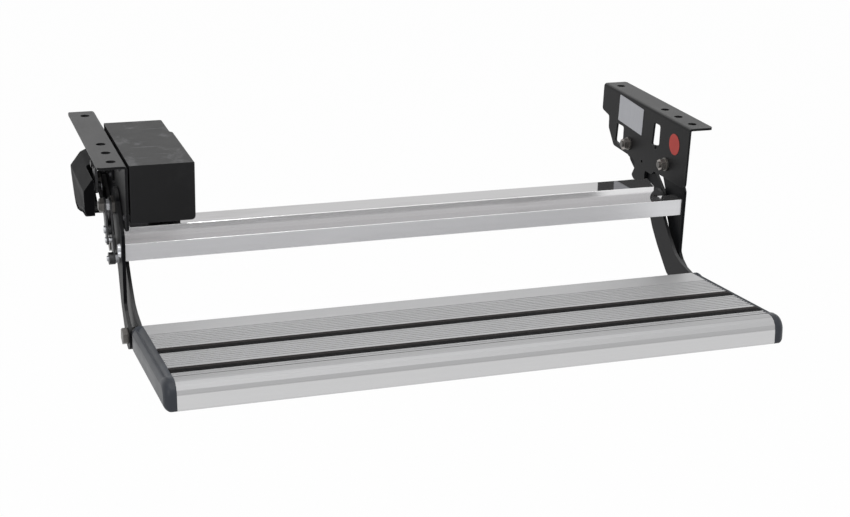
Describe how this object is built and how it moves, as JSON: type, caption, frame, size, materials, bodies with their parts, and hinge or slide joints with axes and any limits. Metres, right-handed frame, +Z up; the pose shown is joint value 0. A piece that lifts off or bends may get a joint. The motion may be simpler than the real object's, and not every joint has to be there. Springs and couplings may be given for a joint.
{
  "type": "caravan pull out step",
  "caption": "Electric pull-out entrance step for a caravan: ribbed aluminium tread on folding four-bar arms under two flanged side brackets.",
  "frame": {"origin": "centre of the rectangle of the four outermost mounting holes, on the top face of the two flanges", "axes": "+X along the tread, to the viewer's right when facing the step; -Y the way the step comes out; +Z up, square to the flanges"},
  "size_m": [0.7508, 0.4913, 0.2085],
  "materials": {
    "black_bracket_paint": "satin black powder coat",
    "black_arm_paint": "satin black powder coat",
    "grey_lever_steel": "dark oiled steel",
    "zinc_steel": "bright zinc plate",
    "dark_bolt_steel": "grey zinc flake",
    "bar_aluminium": "bright mill-finish extrusion",
    "tread_aluminium": "satin anodised",
    "black_cover_plastic": "fine-grained moulding",
    "cap_plastic": "smooth dark blue-grey moulding",
    "strip_rubber": "matt ribbed rubber",
    "bush_bronze": "sintered bronze",
    "washer_nylon": "natural nylon",
    "gearbox_casting": "die-cast",
    "motor_steel": "plated steel can"
  },
  "bodies": {
    "base": {"bracket_left": "black_bracket_paint", "bracket_right": "black_bracket_paint", "motor_cover": "black_cover_plastic", "gearbox": "gearbox_casting", "motor_can": "motor_steel", "shaft_bearing": "gearbox_casting", "linkage_cover": "black_cover_plastic", "cover_screws": "zinc_steel", "gearbox_screws": "zinc_steel", "guard_screws": "zinc_steel", "pivot_bolts": "dark_bolt_steel", "drive_pivot_bolt": "dark_bolt_steel", "pivot_nuts": "zinc_steel", "pivot_washers": "zinc_steel", "thrust_washers": "washer_nylon"},
    "front_arms": {"front_arm_left": "black_arm_paint", "front_arm_right": "black_arm_paint", "front_arm_bushes": "bush_bronze", "tread_pivot_bushes": "bush_bronze", "crossbar": "bar_aluminium", "crossbar_screws": "zinc_steel", "lever_strap": "grey_lever_steel", "drive_lever": "grey_lever_steel", "lever_spacer": "zinc_steel", "lever_pin": "zinc_steel", "lever_rivet": "zinc_steel", "strap_bolt": "zinc_steel", "strap_knob": "grey_lever_steel"},
    "step": {"carrier_left": "black_arm_paint", "carrier_right": "black_arm_paint", "tread": "tread_aluminium", "strip_rear": "strip_rubber", "strip_front": "strip_rubber", "end_cap_left": "cap_plastic", "end_cap_right": "cap_plastic", "tread_screws": "zinc_steel", "tread_pivot_bolts": "dark_bolt_steel", "tread_pivot_spacers": "zinc_steel", "tread_pivot_nuts": "zinc_steel", "coupler_studs": "dark_bolt_steel", "coupler_nuts": "zinc_steel"},
    "rear_links": {"rear_link_left": "black_arm_paint", "rear_link_right": "black_arm_paint", "rear_link_bushes": "bush_bronze", "rear_link_pins": "dark_bolt_steel"},
    "crank": {"drive_crank": "grey_lever_steel", "output_shaft": "zinc_steel", "crank_pin": "zinc_steel"},
    "rod": {"drive_rod": "zinc_steel", "rod_clips": "zinc_steel"}
  },
  "joints": [
    {"name": "arm_swing", "type": "hinge", "parent": "base", "child": "front_arms", "pos_m": [0, -0.0685, -0.06], "axis": [1, 0, 0], "range_deg": [0, 85]},
    {"name": "tread_level", "type": "hinge", "parent": "front_arms", "child": "step", "pos_m": [0, -0.1355, -0.193], "axis": [1, 0, 0], "range_deg": [-85, 0]},
    {"name": "link_swing", "type": "hinge", "parent": "base", "child": "rear_links", "pos_m": [0, 0.0385, -0.062], "axis": [1, 0, 0], "range_deg": [0, 152.73]},
    {"name": "crank_turn", "type": "hinge", "parent": "base", "child": "crank", "pos_m": [0, -0.0005, -0.03], "axis": [1, 0, 0], "range_deg": [0, 85]},
    {"name": "rod_pivot", "type": "hinge", "parent": "crank", "child": "rod", "pos_m": [0, -0.0085, -0.056], "axis": [1, 0, 0], "range_deg": [-85, 0]}
  ],
  "couplings": [
    {"joint": "tread_level", "follows": "arm_swing", "ratio": -1},
    {"joint": "link_swing", "follows": "arm_swing", "ratio": 1.7945},
    {"joint": "crank_turn", "follows": "arm_swing", "ratio": 1},
    {"joint": "rod_pivot", "follows": "arm_swing", "ratio": -1}
  ]
}
